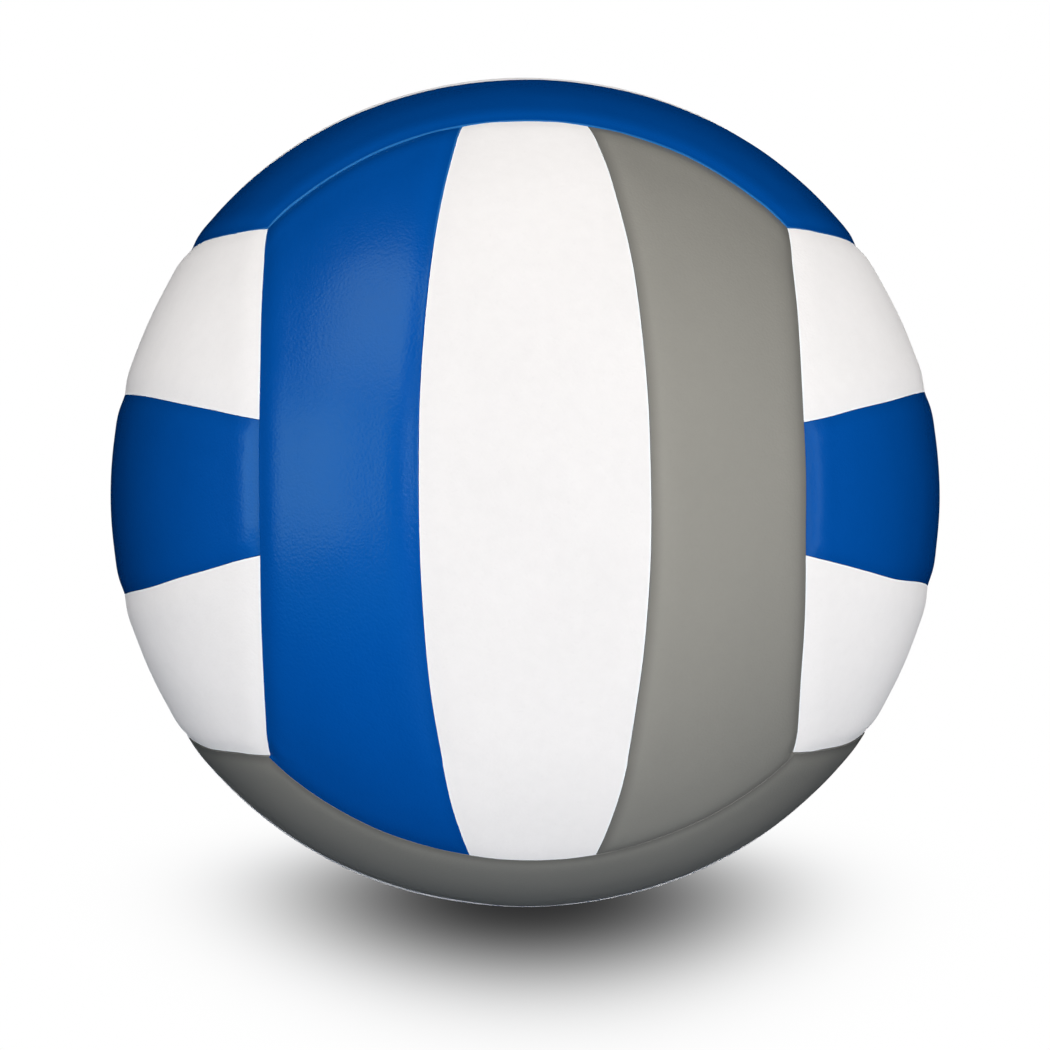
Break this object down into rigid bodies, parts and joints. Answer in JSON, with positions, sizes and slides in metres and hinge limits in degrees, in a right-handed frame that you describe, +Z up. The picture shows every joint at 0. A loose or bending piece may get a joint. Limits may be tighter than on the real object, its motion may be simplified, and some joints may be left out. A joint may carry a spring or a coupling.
{
  "type": "volleyball",
  "caption": "Round indoor volleyball with six faces of three curved synthetic leather strips in blue, white and grey, and a needle valve.",
  "frame": {"origin": "the ball's centre", "axes": "+Z up as the ball lies in the picture, -Y out of the middle of the face towards the camera, +Y out of the valve, +X to the picture's right"},
  "size_m": [0.21, 0.2099, 0.21],
  "materials": {
    "leather_blue": "satin",
    "leather_white": "satin",
    "leather_grey": "satin",
    "backing_foam": "matte",
    "casing_rubber": "matte",
    "winding_thread": "satin",
    "bladder_butyl": "satin",
    "valve_rubber": "satin",
    "valve_core_rubber": "satin"
  },
  "bodies": {
    "root": {"front_left_panel": "leather_blue", "front_centre_panel": "leather_white", "front_right_panel": "leather_grey", "back_left_panel": "leather_blue", "back_centre_panel": "leather_white", "back_right_panel": "leather_grey", "left_lower_panel": "leather_white", "left_middle_panel": "leather_blue", "left_upper_panel": "leather_white", "right_upper_panel": "leather_white", "right_middle_panel": "leather_blue", "right_lower_panel": "leather_white", "top_front_panel": "leather_blue", "top_middle_panel": "leather_white", "top_rear_panel": "leather_grey", "bottom_front_panel": "leather_grey", "bottom_middle_panel": "leather_white", "bottom_rear_panel": "leather_blue", "front_left_backing": "backing_foam", "front_centre_backing": "backing_foam", "front_right_backing": "backing_foam", "back_left_backing": "backing_foam", "back_centre_backing": "backing_foam", "back_right_backing": "backing_foam", "left_lower_backing": "backing_foam", "left_middle_backing": "backing_foam", "left_upper_backing": "backing_foam", "right_upper_backing": "backing_foam", "right_middle_backing": "backing_foam", "right_lower_backing": "backing_foam", "top_front_backing": "backing_foam", "top_middle_backing": "backing_foam", "top_rear_backing": "backing_foam", "bottom_front_backing": "backing_foam", "bottom_middle_backing": "backing_foam", "bottom_rear_backing": "backing_foam", "casing": "casing_rubber", "winding": "winding_thread", "bladder": "bladder_butyl", "valve_housing": "valve_rubber", "valve_core": "valve_core_rubber"}
  },
  "joints": []
}
